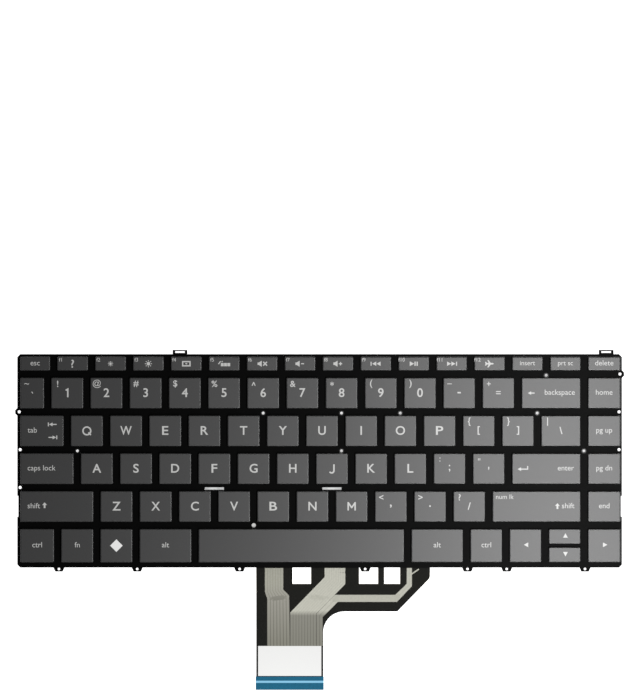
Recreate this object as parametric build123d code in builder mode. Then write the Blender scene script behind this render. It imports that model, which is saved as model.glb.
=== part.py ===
from build123d import *

import os
from collections import namedtuple
from math import asin, atan2, cos, degrees, hypot, radians

# A backlit laptop keyboard without its frame, keys up, lying on its back.
# Millimetres. X runs along the rows to the right, Y towards the function row and Z up.
# The origin is under the middle of the outline, on the surface that the back lies on.

# Key layout
key_pitch_x = 18.7
key_pitch_y = 18.05
key_gap = 3.25
function_key_depth = 6.7
bottom_key_depth = 16.0
arrow_gap = 1.4
escape_width = 14.38
function_key_width = 14.84
grave_width = 11.53
backspace_width = 28.4
paging_width = 15.75
tab_width = 20.88
caps_lock_width = 25.63
left_shift_width = 35.03
left_ctrl_width = 16.28
alt_width = 24.9

# Keycap
key_travel = 1.3
cap_height = 1.5
cap_roof = 0.7
cap_wall = 0.8
cap_corner = 0.5
cap_draft = 5.0
pressed_clearance = 0.15

# Scissor links, rubber domes and stabilizer bars
link_span = 9.0
link_width = 9.0
link_bar = 0.8
link_thickness = 0.6
link_side_gap = 0.15
link_end_gap = 0.4
seat_gap = 0.03
dome_radius = 2.4
dome_draft = 24.0
dome_sides = 6
space_link_offset = 24.0
stabilized_width = 25.0
stabilizer_reach = 5.5
stabilizer_wire = 0.7
stabilizer_gap = 0.3

# Sheets of the stack, from the back up
tape_thickness = 0.04
flex_thickness = 0.15
back_film_thickness = 0.1
light_guide_thickness = 0.3
plate_thickness = 0.3
membrane_thickness = 0.2
sheet_inset = 0.7
sheet_side_inset = 2.2

# Support plate
plate_left_margin = 1.47
plate_right_margin = 0.75
plate_rear_margin = 1.2
plate_front_margin = 2.6
plate_corner = 1.4
screw_hole_radius = 0.7
screw_shift = 0.6
side_ear_radius = 2.1
side_ear_inset = 0.9
side_hole_inset = 1.35
front_ear_width = 5.2
front_ear_tip = 3.6
front_ear_reach = 1.9
front_hole_radius = 0.6
front_hole_reach = 0.7
front_ear_shift = 0.5
space_ear_offset = 30.0
hook_width = 7.0
hook_reach = 2.0
hook_slot_width = 4.6
hook_slot_depth = 0.8
hook_corner_inset = 7.5
hook_middle_x = -66.7
notch_length = 10.0
notch_depth = 0.5
homing_slot_width = 9.2
homing_slot_depth = 1.2
light_hole_radius = 0.6

# Screw bosses under the plate, and the sides that their rims and clearance holes are drawn with
boss_radius = 2.1
boss_clearance = 0.2
boss_window = 1.3
hole_sides = 8

# Connector tail of the membrane, its stiffener, label and release liner
tail_left_x = -30.3
tail_width = 32.0
tail_reach = 58.5
tail_root_width = 83.0
tail_shoulder = 21.0
tail_shoulder_run = 15.6
tail_root_side = 5.0
tail_outer_radius = 3.0
tail_inner_radius = 10.0
tail_window_depth = 7.8
tail_window_widths = (8.9, 9.1, 7.6)
tail_first_window_x = -8.55
tail_ear_window_shift = 1.6
tail_window_bridge = 2.9
tail_level_run = 2.0
tail_slope_run = 12.5
tail_bend_radius = 30.0
stiffener_length = 6.4
stiffener_overhang = 0.25
stiffener_thickness = 0.15
label_width = 30.2
label_length = 14.3
label_gap = 0.3
label_thickness = 0.08
liner_length = 11.7
liner_thickness = 0.1
liner_gap = 0.01

# Backlight: light strip along the back, its tail, cover tape and hold-down tape
strip_shift = 2.8
cover_tape_width = 14.1
cover_tape_inset = 5.0
flex_strip_width = 4.4
flex_strip_shift = 4.1
flex_tail_width = 4.9
flex_tail_x = -38.8
flex_tail_end_y = 7.2
led_count = 6
led_width = 2.6
led_depth = 1.0
led_clearance = 0.1
hold_tape_width = 25.7
hold_tape_length = 8.6
hold_tape_x = -35.5
hold_tape_y = 23.2
hold_tape_step = 0.5

Key = namedtuple("Key", "name x y width depth")

letter_width = key_pitch_x - key_gap
letter_depth = key_pitch_y - key_gap


# Rows of keys, each key a name and a width
def row_length(row):
    return sum(width for _, width in row) + key_gap * (len(row) - 1)


def letters(names):
    return [(name, letter_width) for name in names]


def filled_row(left, filler, right=()):
    """A row as long as the number row: the filler key takes what the others leave."""
    spare = block_width - row_length([*left, *right]) - key_gap
    return [*left, (filler, spare), *right]


number_row = [
    ("grave", grave_width),
    *letters("1234567890"),
    *letters(["minus", "equals"]),
    ("backspace", backspace_width),
    ("home", paging_width),
]
block_width = row_length(number_row)
tab_row = filled_row(
    [("tab", tab_width), *letters("qwertyuiop"), *letters(["left_bracket", "right_bracket"])],
    "backslash",
    [("page_up", paging_width)],
)
caps_row = filled_row(
    [("caps_lock", caps_lock_width), *letters("asdfghjkl"), *letters(["semicolon", "quote"])],
    "enter",
    [("page_down", paging_width)],
)
shift_row = filled_row(
    [("left_shift", left_shift_width), *letters("zxcvbnm"), *letters(["comma", "period", "slash"])],
    "right_shift",
    [("end", paging_width)],
)
bottom_row = filled_row(
    [("left_ctrl", left_ctrl_width), *letters(["fn", "launcher"]), ("left_alt", alt_width)],
    "space",
    [
        ("right_alt", alt_width),
        *letters(["right_ctrl", "arrow_left", "arrow_column"]),
        ("arrow_right", paging_width),
    ],
)
function_names = [*(f"f{n}" for n in range(1, 13)), "insert", "print_screen"]
function_row = filled_row(
    [("escape", escape_width), *((name, function_key_width) for name in function_names)],
    "delete",
)

rows = [
    (function_row, function_key_depth),
    (number_row, letter_depth),
    (tab_row, letter_depth),
    (caps_row, letter_depth),
    (shift_row, letter_depth),
    (bottom_row, bottom_key_depth),
]
block_depth = sum(depth for _, depth in rows) + key_gap * (len(rows) - 1)

# Outline of the plate, with the whole footprint centred on the origin
plate_width = plate_left_margin + block_width + plate_right_margin
plate_depth = plate_rear_margin + block_depth + plate_front_margin
plate_rear_y = (plate_depth + tail_reach - hook_reach) / 2
plate_front_y = plate_rear_y - plate_depth
plate_y = (plate_rear_y + plate_front_y) / 2

# Heights of the stack
flex_z = tape_thickness
back_film_z = flex_z + flex_thickness
light_guide_z = back_film_z + back_film_thickness
plate_z = light_guide_z + light_guide_thickness
membrane_z = plate_z + plate_thickness
deck_z = membrane_z + membrane_thickness
skirt_z = deck_z + pressed_clearance + key_travel
ceiling_z = skirt_z + cap_height - cap_roof


def place_keys():
    """Every key by name, with its centre and size, from the rear row to the front one."""
    placed = {}
    rear = plate_rear_y - plate_rear_margin
    for row, depth in rows:
        left = -plate_width / 2 + plate_left_margin
        for name, width in row:
            placed[name] = Key(name, left + width / 2, rear - depth / 2, width, depth)
            left += width + key_gap
        rear -= depth + key_gap
    column = placed.pop("arrow_column")
    half_depth = (column.depth - arrow_gap) / 2
    half_shift = (half_depth + arrow_gap) / 2
    for name, shift in (("arrow_up", half_shift), ("arrow_down", -half_shift)):
        placed[name] = Key(name, column.x, column.y + shift, column.width, half_depth)
    return placed


keys = place_keys()
small_keys = {*function_names, "escape", "delete", "arrow_up", "arrow_down"}
moving_keys = [
    *"abcdefghijklmnopqrstuvwxyz",
    *"1234567890",
    *("space", "enter", "backspace"),
    *("arrow_left", "arrow_right", "arrow_up", "arrow_down"),
]


def beside(left, right):
    """X of the middle of the gap between two neighbours in a row."""
    return (keys[left].x + keys[left].width / 2 + keys[right].x - keys[right].width / 2) / 2


def between(rear, front):
    """Y of the middle of the gap between a key and one in the row in front of it."""
    return (keys[rear].y - keys[rear].depth / 2 + keys[front].y + keys[front].depth / 2) / 2


# Places in the gaps between the keys
number_gap_y = between("5", "t")
tab_gap_y = between("q", "a")
caps_gap_y = between("a", "z")
shift_gap_y = between("z", "launcher")
function_gap_y = between("f9", "9")
boss_places = [
    (beside("caps_lock", "a"), tab_gap_y - screw_shift),
    (beside("u", "i"), tab_gap_y - screw_shift),
    (beside("enter", "page_down"), tab_gap_y - screw_shift),
    (beside("t", "y"), number_gap_y - screw_shift),
    (beside("u", "i"), number_gap_y - screw_shift),
    (beside("9", "0"), number_gap_y - screw_shift),
    (beside("right_bracket", "backslash"), number_gap_y - screw_shift),
    (beside("insert", "print_screen"), function_gap_y - screw_shift),
]
side_ear_x = plate_width / 2 - side_ear_inset
side_hole_x = plate_width / 2 - side_hole_inset
side_ear_places = [(-side_ear_x, number_gap_y), (side_ear_x, function_gap_y)]
side_hole_places = [
    *side_ear_places,
    *((-side_hole_x, y) for y in (tab_gap_y, caps_gap_y)),
    *((side_hole_x, y) for y in (number_gap_y, tab_gap_y)),
]
front_ear_gaps = [
    ("left_ctrl", "fn"),
    ("launcher", "left_alt"),
    ("right_alt", "right_ctrl"),
    ("right_ctrl", "arrow_left"),
    ("arrow_up", "arrow_right"),
]
space_ear_xs = [keys["space"].x + front_ear_shift + side * space_ear_offset for side in (-1, 1)]
front_ear_xs = [*space_ear_xs, *(beside(*pair) + front_ear_shift for pair in front_ear_gaps)]
front_hole_places = [(x, plate_front_y - front_hole_reach) for x in front_ear_xs]
hook_xs = (hook_middle_x, plate_width / 2 - hook_corner_inset)
homing_slot_places = [(keys[name].x, caps_gap_y - key_gap / 6) for name in "fj"]
light_hole_place = (beside("v", "b"), shift_gap_y)
strip_y = number_gap_y + strip_shift


def deck_holes():
    """What the plate and the membrane leave open: screw holes, homing slots and a light hole."""
    with Locations(*boss_places):
        RegularPolygon(boss_window, hole_sides, mode=Mode.SUBTRACT)
    with Locations(*homing_slot_places):
        Rectangle(homing_slot_width, homing_slot_depth, mode=Mode.SUBTRACT)
    with Locations(light_hole_place):
        RegularPolygon(light_hole_radius, hole_sides, mode=Mode.SUBTRACT)


# Support plate: a stamped sheet with screw ears, locating hooks and light slots
with BuildPart() as support_plate:
    with BuildSketch(Plane.XY.offset(plate_z)) as plate_plan:
        with Locations((0, plate_y)):
            Rectangle(plate_width, plate_depth)
        chamfer(plate_plan.vertices(), length=plate_corner)
        with Locations(*((side * plate_width / 2, keys["z"].y) for side in (-1, 1))):
            Rectangle(2 * notch_depth, notch_length, mode=Mode.SUBTRACT)
        with Locations(*side_ear_places):
            RegularPolygon(side_ear_radius, hole_sides, rotation=180 / hole_sides)
        for ear_x in front_ear_xs:
            with BuildLine():
                Polyline(
                    (ear_x - front_ear_width / 2, plate_front_y),
                    (ear_x - front_ear_tip / 2, plate_front_y - front_ear_reach),
                    (ear_x + front_ear_tip / 2, plate_front_y - front_ear_reach),
                    (ear_x + front_ear_width / 2, plate_front_y),
                    close=True,
                )
            make_face()
        for hook_x in hook_xs:
            with Locations((hook_x, plate_rear_y)):
                Rectangle(hook_width, 2 * hook_reach)
            with Locations((hook_x, plate_rear_y + hook_reach / 2)):
                Rectangle(hook_slot_width, hook_slot_depth, mode=Mode.SUBTRACT)
        with Locations(*side_hole_places):
            RegularPolygon(screw_hole_radius, hole_sides, major_radius=False, mode=Mode.SUBTRACT)
        with Locations(*front_hole_places):
            RegularPolygon(front_hole_radius, hole_sides, major_radius=False, mode=Mode.SUBTRACT)
        deck_holes()
    extrude(amount=plate_thickness)


# Screw bosses: bushes under the plate that the case screws pass through
with BuildPart() as screw_bosses:
    with BuildSketch():
        with Locations(*boss_places):
            RegularPolygon(boss_radius, hole_sides)
            Circle(screw_hole_radius, mode=Mode.SUBTRACT)
    extrude(amount=plate_z)


def sheet_outline():
    """The plate's outline drawn in for a sheet of the stack, clear of the side ears' screws."""
    with Locations((0, plate_y)):
        Rectangle(plate_width - 2 * sheet_side_inset, plate_depth - 2 * sheet_inset)


def led_places():
    """Evenly along the light strip, from end to end."""
    pitch = (plate_width - 2 * cover_tape_inset) / led_count
    first = -pitch * (led_count - 1) / 2
    return [(first + n * pitch, strip_y + flex_strip_shift) for n in range(led_count)]


def led_windows():
    with Locations(*led_places()):
        Rectangle(led_width + 2 * led_clearance, led_depth + 2 * led_clearance, mode=Mode.SUBTRACT)


def boss_holes(places, sides=hole_sides):
    with Locations(*places):
        RegularPolygon(boss_radius + boss_clearance, sides, major_radius=False, mode=Mode.SUBTRACT)


# Light guide: the clear sheet under the plate, with windows for the lamps and the bosses
with BuildPart() as light_guide:
    with BuildSketch(Plane.XY.offset(light_guide_z)):
        sheet_outline()
        led_windows()
        boss_holes(boss_places, 4)
    extrude(amount=light_guide_thickness)


# Back film: the black sheet that closes the back
with BuildPart() as back_film:
    with BuildSketch(Plane.XY.offset(back_film_z)):
        sheet_outline()
        led_windows()
        boss_holes(boss_places)
    extrude(amount=back_film_thickness)


# Light strip: one flexible circuit, a band along the back and a tail towards the front edge
flex_rear_y = strip_y + flex_strip_shift + flex_strip_width / 2
flex_length = flex_rear_y - plate_front_y - flex_tail_end_y
with BuildPart() as light_strip:
    with BuildSketch(Plane.XY.offset(flex_z)):
        with Locations((0, strip_y + flex_strip_shift)):
            Rectangle(plate_width - 2 * cover_tape_inset, flex_strip_width)
        with Locations((flex_tail_x, flex_rear_y)):
            Rectangle(flex_tail_width, flex_length, align=(Align.CENTER, Align.MAX))
    extrude(amount=flex_thickness)


# Lamps on the light strip, shining into the edge of their windows in the light guide
with BuildPart() as strip_lamps:
    with BuildSketch(Plane.XY.offset(back_film_z)):
        with Locations(*led_places()):
            Rectangle(led_width, led_depth)
    extrude(amount=back_film_thickness + light_guide_thickness)


# Cover tape over the light strip, with holes that show the bosses
with BuildPart() as cover_tape:
    with BuildSketch():
        with Locations((0, strip_y)):
            Rectangle(plate_width - 2 * cover_tape_inset, cover_tape_width)
        boss_holes([place for place in boss_places if abs(place[1] - strip_y) < cover_tape_width / 2])
    extrude(amount=tape_thickness)


# Hold-down tape: a strip that dips under the light strip's tail and sticks to the film on both sides
with BuildPart() as hold_tape:
    low = tape_thickness / 2
    high = back_film_z - tape_thickness / 2
    tail_low = flex_tail_x - flex_tail_width / 2
    tail_high = flex_tail_x + flex_tail_width / 2
    with BuildSketch(Plane.XZ.offset(-(plate_front_y + hold_tape_y))):
        with BuildLine():
            Polyline(
                (hold_tape_x - hold_tape_width / 2, high),
                (tail_low - 2 * hold_tape_step, high),
                (tail_low - hold_tape_step, low),
                (tail_high + hold_tape_step, low),
                (tail_high + 2 * hold_tape_step, high),
                (hold_tape_x + hold_tape_width / 2, high),
            )
        trace(line_width=tape_thickness)
    extrude(amount=hold_tape_length / 2, both=True)


# Membrane tail, as a plan outline and a side profile that steps down to the table
def tail_outline():
    """Plan of the tail, from under the deck sheet to its connector end."""
    root = plate_front_y + plate_front_margin
    right = tail_left_x + tail_width
    root_right = tail_left_x + tail_root_width
    shoulder = plate_front_y - tail_shoulder
    second_x = space_ear_xs[-1] + tail_ear_window_shift
    third_x = second_x + (tail_window_widths[1] + tail_window_widths[2]) / 2 + tail_window_bridge
    with BuildSketch() as plan:
        with BuildLine():
            line = Polyline(
                (right, shoulder - tail_inner_radius),
                (right, plate_front_y - tail_reach),
                (tail_left_x, plate_front_y - tail_reach),
                (tail_left_x, root),
                (root_right, root),
                (root_right, plate_front_y - tail_root_side),
                (root_right - tail_shoulder_run, shoulder),
                (right + tail_inner_radius, shoulder),
            )
            RadiusArc(line @ 1, line @ 0, -tail_inner_radius)
        make_face()
        outer_corner = plan.vertices().group_by(Axis.X)[-1].sort_by(Axis.Y)[0]
        fillet(outer_corner, radius=tail_outer_radius)
        for x, width in zip((tail_first_window_x, second_x, third_x), tail_window_widths):
            with Locations((x, plate_front_y + sheet_inset)):
                Rectangle(
                    width,
                    tail_window_depth + sheet_inset,
                    align=(Align.CENTER, Align.MAX),
                    mode=Mode.SUBTRACT,
                )
    return plan.sketch


def tail_profile(drop, thickness):
    """The tail's side view: level off the deck, down a slope and along the table, lowered by drop."""
    level = membrane_z + membrane_thickness / 2 - drop
    table = membrane_thickness / 2 - drop
    slope_top = plate_front_y - tail_level_run
    with BuildSketch(Plane.YZ.offset(tail_left_x - stiffener_overhang)) as profile:
        with BuildLine():
            FilletPolyline(
                (plate_front_y + plate_front_margin, level),
                (slope_top, level),
                (slope_top - tail_slope_run, table),
                (plate_front_y - tail_reach, table),
                radius=tail_bend_radius,
            )
        trace(line_width=thickness)
    return profile.sketch


with BuildPart() as membrane_tail:
    extrude(tail_profile(0, membrane_thickness), amount=tail_root_width + 2 * stiffener_overhang)
    extrude(tail_outline(), amount=deck_z + membrane_thickness, mode=Mode.INTERSECT)


# Membrane: the printed switch sheet on the plate, in one piece with its tail
with BuildPart() as membrane:
    with BuildSketch(Plane.XY.offset(membrane_z)):
        sheet_outline()
        deck_holes()
    extrude(amount=membrane_thickness)
    add(membrane_tail.part)


# Release liner on the back of the tail's root
liner_drop = (membrane_thickness + liner_thickness) / 2 + liner_gap
with BuildPart() as tail_liner:
    extrude(tail_profile(liner_drop, liner_thickness), amount=tail_root_width + 2 * stiffener_overhang)
    with BuildSketch() as liner_plan:
        add(tail_outline())
        with Locations((0, plate_front_y - sheet_inset)):
            Rectangle(plate_width, liner_length, align=(Align.CENTER, Align.MAX), mode=Mode.INTERSECT)
    extrude(amount=deck_z, mode=Mode.INTERSECT)


# Stiffener and label on the tail's connector end
tail_middle_x = tail_left_x + tail_width / 2
tail_end_y = plate_front_y - tail_reach
with BuildPart() as tail_stiffener:
    with BuildSketch(Plane.XY.offset(membrane_thickness)):
        with Locations((tail_middle_x, tail_end_y)):
            Rectangle(tail_width + 2 * stiffener_overhang, stiffener_length, align=(Align.CENTER, Align.MIN))
    extrude(amount=stiffener_thickness)

with BuildPart() as tail_label:
    with BuildSketch(Plane.XY.offset(membrane_thickness)):
        with Locations((tail_middle_x, tail_end_y + stiffener_length + label_gap)):
            Rectangle(label_width, label_length, align=(Align.CENTER, Align.MIN))
    extrude(amount=label_thickness)


# Scissor links: two tilted forks that cross under each key, crossbars up
mechanism_height = ceiling_z - deck_z - 2 * seat_gap
mechanism_z = (ceiling_z + deck_z) / 2
small_link_span = function_key_depth - 2 * cap_wall - 2 * link_end_gap
inner_link_width = link_width - 2 * link_bar - 2 * link_side_gap


def tilt_to_fill(span):
    """Tilt in degrees at which a link of that span reaches from the deck to the cap's ceiling."""
    return degrees(asin(mechanism_height / hypot(span, link_thickness)) - atan2(link_thickness, span))


def scissor_link(span, width, side):
    """A fork of two arms and a crossbar, tilted from the deck to the cap; its crossbar is at that side."""
    with BuildPart() as link:
        with BuildSketch(Plane.XY.rotated((side * tilt_to_fill(span), 0, 0))):
            Rectangle(width, span)
            with Locations((0, -side * link_bar / 2)):
                Rectangle(width - 2 * link_bar, span - link_bar, mode=Mode.SUBTRACT)
        extrude(amount=link_thickness / 2, both=True)
    return link.part


def link_places(small):
    """Where a pair of links stands: the middle of each key, and two places under the space bar."""
    space = keys["space"]
    places = [(key.x, key.y) for key in keys.values() if key is not space and (key.name in small_keys) == small]
    if not small:
        places += [(space.x - space_link_offset, space.y), (space.x + space_link_offset, space.y)]
    return [(x, y, mechanism_z) for x, y in places]


with BuildPart() as scissor_outer_links:
    with Locations(*link_places(small=False)):
        add(scissor_link(link_span, link_width, 1))
    with Locations(*link_places(small=True)):
        add(scissor_link(small_link_span, link_width, 1))

with BuildPart() as scissor_inner_links:
    with Locations(*link_places(small=False)):
        add(scissor_link(link_span, inner_link_width, -1))
    with Locations(*link_places(small=True)):
        add(scissor_link(small_link_span, inner_link_width, -1))


# Rubber domes: the springs between the membrane and the caps
small_dome_radius = small_link_span / 2 * cos(radians(tilt_to_fill(small_link_span))) - link_bar - link_side_gap
with BuildPart() as rubber_domes:
    for small, radius, draft in ((False, dome_radius, dome_draft), (True, small_dome_radius, dome_draft / 4)):
        with BuildSketch(Plane.XY.offset(deck_z)):
            with Locations(*((key.x, key.y) for key in keys.values() if (key.name in small_keys) == small)):
                RegularPolygon(radius, dome_sides)
        extrude(amount=ceiling_z - deck_z - seat_gap, taper=draft)


def stabilizer_bar(key):
    """A wire bracket along a wide key: its long side clips under the cap, its ends stand on the deck."""
    reach_x = key.width - 2 * (cap_wall + stabilizer_gap)
    front = key.depth / 2 - cap_wall - stabilizer_gap
    tilt = degrees(
        asin(mechanism_height / hypot(stabilizer_reach, stabilizer_wire)) - atan2(stabilizer_wire, stabilizer_reach)
    )
    middle = Plane((key.x, key.y - front + stabilizer_reach / 2, mechanism_z)).rotated((-tilt, 0, 0))
    with BuildPart() as bar:
        with BuildSketch(middle):
            Rectangle(reach_x, stabilizer_reach)
            with Locations((0, stabilizer_wire / 2)):
                Rectangle(
                    reach_x - 2 * stabilizer_wire, stabilizer_reach - stabilizer_wire, mode=Mode.SUBTRACT
                )
        extrude(amount=stabilizer_wire / 2, both=True)
    return bar.part


with BuildPart() as stabilizer_bars:
    add([stabilizer_bar(key) for key in keys.values() if key.width > stabilized_width])


def keycap(key):
    """A drafted cap with bevelled corners, hollow underneath for the links and the dome."""
    with BuildPart() as cap:
        with BuildSketch(Plane.XY.offset(skirt_z)) as rim:
            with Locations((key.x, key.y)):
                Rectangle(key.width, key.depth)
            chamfer(rim.vertices(), length=cap_corner)
        extrude(amount=cap_height, taper=cap_draft)
        with BuildSketch(Plane.XY.offset(skirt_z)):
            with Locations((key.x, key.y)):
                Rectangle(key.width - 2 * cap_wall, key.depth - 2 * cap_wall)
        extrude(amount=cap_height - cap_roof, mode=Mode.SUBTRACT)
    return cap.part


# Keys that have no node of their own share one
with BuildPart() as fixed_keys:
    add([keycap(key) for key in keys.values() if key.name not in moving_keys])


nodes = {
    "support_plate": support_plate.part,
    "screw_bosses": screw_bosses.part,
    "light_guide": light_guide.part,
    "back_film": back_film.part,
    "light_strip": light_strip.part,
    "strip_lamps": strip_lamps.part,
    "cover_tape": cover_tape.part,
    "hold_tape": hold_tape.part,
    "membrane": membrane.part,
    "tail_liner": tail_liner.part,
    "tail_stiffener": tail_stiffener.part,
    "tail_label": tail_label.part,
    "scissor_outer_links": scissor_outer_links.part,
    "scissor_inner_links": scissor_inner_links.part,
    "rubber_domes": rubber_domes.part,
    "stabilizer_bars": stabilizer_bars.part,
    "fixed_keys": fixed_keys.part,
    **{f"key_{name}": keycap(keys[name]) for name in moving_keys},
}

os.makedirs("parts", exist_ok=True)
for name, part in nodes.items():
    part.label = name
    export_step(part, f"parts/{name}.step")
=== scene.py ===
"""Looks of the laptop replacement keyboard: caps, legends, key mechanism, tail and finishes."""
import math

import bmesh
import bpy
from mathutils import Matrix, Vector


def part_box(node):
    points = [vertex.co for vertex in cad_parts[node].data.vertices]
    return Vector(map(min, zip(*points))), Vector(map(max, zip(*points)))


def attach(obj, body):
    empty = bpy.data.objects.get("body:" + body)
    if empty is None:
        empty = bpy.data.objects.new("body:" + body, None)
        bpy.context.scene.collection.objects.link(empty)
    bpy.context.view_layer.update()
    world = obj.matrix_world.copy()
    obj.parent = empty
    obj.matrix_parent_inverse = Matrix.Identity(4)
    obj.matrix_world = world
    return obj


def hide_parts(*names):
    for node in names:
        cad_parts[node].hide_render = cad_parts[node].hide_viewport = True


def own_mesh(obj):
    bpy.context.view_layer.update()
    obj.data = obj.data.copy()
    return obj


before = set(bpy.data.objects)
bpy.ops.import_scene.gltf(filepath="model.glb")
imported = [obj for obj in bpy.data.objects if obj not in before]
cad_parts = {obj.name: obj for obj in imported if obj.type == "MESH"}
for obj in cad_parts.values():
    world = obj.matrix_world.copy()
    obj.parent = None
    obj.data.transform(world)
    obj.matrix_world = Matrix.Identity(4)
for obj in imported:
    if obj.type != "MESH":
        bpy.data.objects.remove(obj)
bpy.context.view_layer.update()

MM = 0.001  # shapes are worked out in millimetres and written in metres

# The photograph: where its pixels lie on the keyboard
PHOTO_SIZE = (640, 693)
PX_PER_MM = 2.0925
PLATE_FRONT_PX = 567.5
PLATE_MIDDLE_PX = 319.65
PLATE_FRONT_Y = -22.725

# Keycaps
CAP_CORNER = 0.6
CAP_DRAFT = 0.1
CAP_EDGE = 0.3
CAP_RIM = 0.75
CAP_ROOF = 0.7
CAP_ROOF_INSET = 0.35
CAP_ROOF_FILLET = (0.1, 0.2)
CAP_FOOT = 0.08
CAP_SHOULDER = 0.12
CAP_FLAT = 0.25
CAP_DRAFT_SHARE = 0.8
CAP_CORNER_SHARE = 0.7
# Weights of the painted highlight, a paler colour at the cap's foot and along its rounded top edge
FOOT_HIGHLIGHT = 0.3
EDGE_HIGHLIGHT = 0.9
CORNER_STEPS = 4
EDGE_STEPS = 4
LEAST_CORNER = 0.02
SHARP_DEGREES = 35

# Legends
LEGEND_RISE = 0.015
LEGEND_ROOT = 0.05
LEGEND_STEP = 0.001
LETTER_EM = 5.9
SHIFTED_EM = 4.2
WORD_EM = 3.6
TIGHT_EM = 3.2
SMALL_EM = 2.5
HELP_EM = LETTER_EM * 0.9
NUM_LOCK_EM = SMALL_EM * 1.25
WORD_MIDDLE = 0.22
CORNER_INSET = (3.15, 3.0)
TINY_INSET = (1.6, 1.75)
WORD_INSET = 3.6
TAB_ARROWS_INSET = 15.5
LEFT_SHIFT_ARROW = (11.7, 0.6)
RIGHT_SHIFT_ARROW = (11.2, 0.2)
RIGHT_SHIFT_INSET = 3.1
NUM_LOCK_INSET = (1.8, 3.1)
RETURN_ARROW_INSET = 5.3
ENTER_INSET = 3.3
BACK_ARROW_INSET = 4.7
BACKSPACE_INSET = 2.9
LEGEND_LIFT = 0.2
BOLD = 0.014
GLYPH_STROKE = 0.7
ICON_STROKE = 0.42
LIGHT_SIGNS = set("@;:'\"`~=+")
LETTER_STRETCH = {
    "B": 1.25, "E": 1.2, "F": 1.2, "L": 1.1, "P": 1.3, "R": 1.08, "S": 1.08, "W": 0.86, "X": 0.92,
}
SIGN_EMS = {"[": 4.4, "]": 4.4, "\\": 4.8, "/": 4.8, "=": 4.8}
ARROW_SHIFT = (0.35, 0.4)
ARROW_SIZE = 1.9

# Key mechanism
LINK_BAR = 0.8
LINK_THICK = 0.6
LINK_FORM = (
    (0.0, 0.5), (0.03, 0.9), (0.1, 0.9), (0.16, 0.7), (0.42, 0.7), (0.47, 1.0),
    (0.53, 1.0), (0.58, 0.7), (0.84, 0.7), (0.9, 0.9), (0.97, 0.9), (1.0, 0.5),
)
LINK_SECTION = ((-1, -0.6), (-0.7, -1), (0.7, -1), (1, -0.6), (1, 0.6), (0.7, 1), (-0.7, 1), (-1, 0.6))
CROSSBAR_AT = 0.955
CROSSBAR_END = 0.8
CROSSBAR_SHARE = 0.45
PIN_SHARE = 0.3
DOME_FORM = (
    (0.1, 0.62), (0.34, 0.6), (0.5, 0.4), (0.66, 0.1), (0.7, 0.0), (1.0, 0.0), (1.0, 0.08), (0.86, 0.12),
    (0.8, 0.22), (0.72, 0.5), (0.6, 0.72), (0.54, 0.8), (0.54, 0.96), (0.48, 1.0), (0.3, 1.0),
)
DOME_SIDES = 20
WIRE_RADIUS = 0.35
WIRE_BEND = 0.9
WIRE_FOOT = 1.4

# Tail
TAIL_PROBE_X = -22.0
TRACE_GAP = 0.12
TRACE_STEP = 0.8
TRACE_RISE = 0.012
# Rows of the photograph where the painted shade on the tail's ink begins and deepens
LEFT_DIM_PX = (584.0, 600.0)
PALE_DIM_PX = (610.5, 615.5)
TRACE_END_PX = 646.0
TRACE_TOP_PX = 567.9
LEFT_TRACES = (7, [(264.9, 592), (267.2, 598.7), (267.2, TRACE_END_PX)],
               [(283.3, 589.6), (289.2, 595.5), (290.0, TRACE_END_PX)])
MIDDLE_TRACES = (9, [(324.6, 577), (290.2, 612.5), (290.2, TRACE_END_PX)],
                 [(345.3, 584), (316.3, 613.6), (316.3, TRACE_END_PX)])
RIGHT_TRACES = (2, [(406.7, 583.8), (395.2, 594.8), (334.9, 594.8), (316.5, 613.7), (316.5, TRACE_END_PX)],
                [(411.9, 586.1), (396.9, 601.9), (337.8, 601.9), (322.7, 617.1), (322.7, TRACE_END_PX)])
SPUR_TRACE = ((418.4, 568.5), (410.9, 573.7)), ((419.2, 569.5), (411.7, 574.7))
STIFFENER_LINE_PX = (680.7, 682.8)
TAIL_CONTACT_LENGTH = 3.8
TAIL_CONTACT_PITCH = 1.0
TAIL_CONTACT_EDGE = (0.24, 0.28)
# How far the painted shade of the deck fades in at the plate's front edge
DECK_SHADE_BLEND = 0.4
PRINT_EDGE = 0.1
LIGHT_HOLE_RIM = 1.0

# Back: copper lines of the light strip's tail, rivets in the plate, painted shade around the bores of the
# bosses and dots on the tape
FLEX_LINES = 5
FLEX_LINE_WIDTH = 0.5
FLEX_MARGIN = 0.5
FLEX_CONTACT = 3.6
FLEX_CONTACT_SHARE = 0.7
FLEX_END = 0.1
FLEX_RISE = 0.012
RIVETS = {
    "plate": ((-118.6, 24.9), (-123.1, 28.5)),
    "boss": ((-109.7, 24.7), (-91.6, 24.7), (-109.7, 38.0), (-91.6, 38.0), (-114.7, 42.8), (-78.2, 42.8)),
}
RIVET_FORM = ((0.85, 0.0), (0.85, 0.05), (0.7, 0.11), (0.4, 0.13), (0.1, 0.13))
RIVET_SINK = 0.02
TAPE_DOTS = ((-18.2, 52.1), (111.9, 51.3))
TAPE_DOT_RADIUS = 0.7
# Radius of the painted shade around each boss's bore
BOSS_SEAT_SHADE = 1.4

# Finishes: the grain's depth in metres and its swing in roughness, soft edges of spots, and what faces up
GRAIN_DEPTH = 2e-5
ROUGH_SWING = 0.06
ROUGH_LEAST = 0.02
SPOT_EDGE = 0.05
FACING = (0.5, 0.9)

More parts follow.
